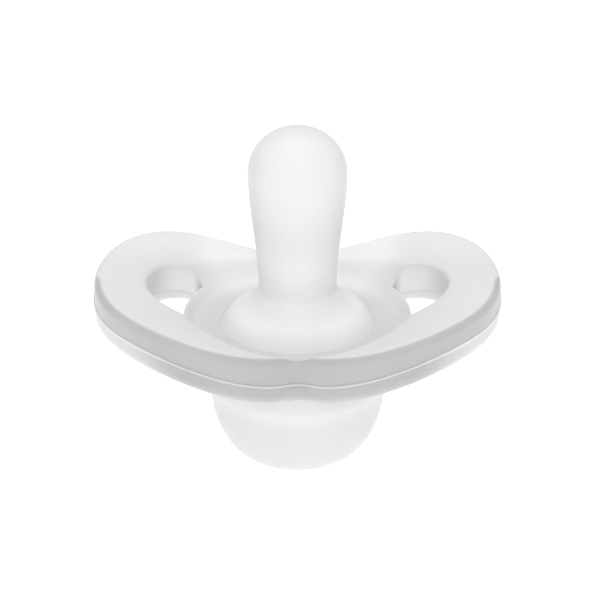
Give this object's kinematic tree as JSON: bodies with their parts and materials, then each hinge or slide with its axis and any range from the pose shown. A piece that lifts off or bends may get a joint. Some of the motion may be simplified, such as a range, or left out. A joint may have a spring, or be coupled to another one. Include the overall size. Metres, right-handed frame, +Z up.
{
  "type": "pacifier",
  "caption": "All-silicone pacifier with a hollow rounded teat, a curved butterfly shield with crescent vents beside the hub, and a hollow domed knob it stands on.",
  "frame": {"origin": "centre of the knob's flat base, which is the lowest face", "axes": "+Z up along the teat to its tip, +X along the shield's wings, -Y toward the side seen in the reference view"},
  "size_m": [0.0624, 0.0428, 0.0539],
  "materials": {
    "teat_silicone": "translucent white silicone, satin",
    "shield_silicone": "translucent grey-white silicone, satin",
    "knob_silicone": "translucent white silicone, satin",
    "seam_silicone": "bonding silicone, glossy",
    "plug_plastic": "natural white plastic"
  },
  "bodies": {
    "root": {"teat": "teat_silicone", "front_shield": "shield_silicone", "plug_ring": "plug_plastic", "rear_shield": "shield_silicone", "knob": "knob_silicone", "seam_bead": "seam_silicone"}
  },
  "joints": []
}
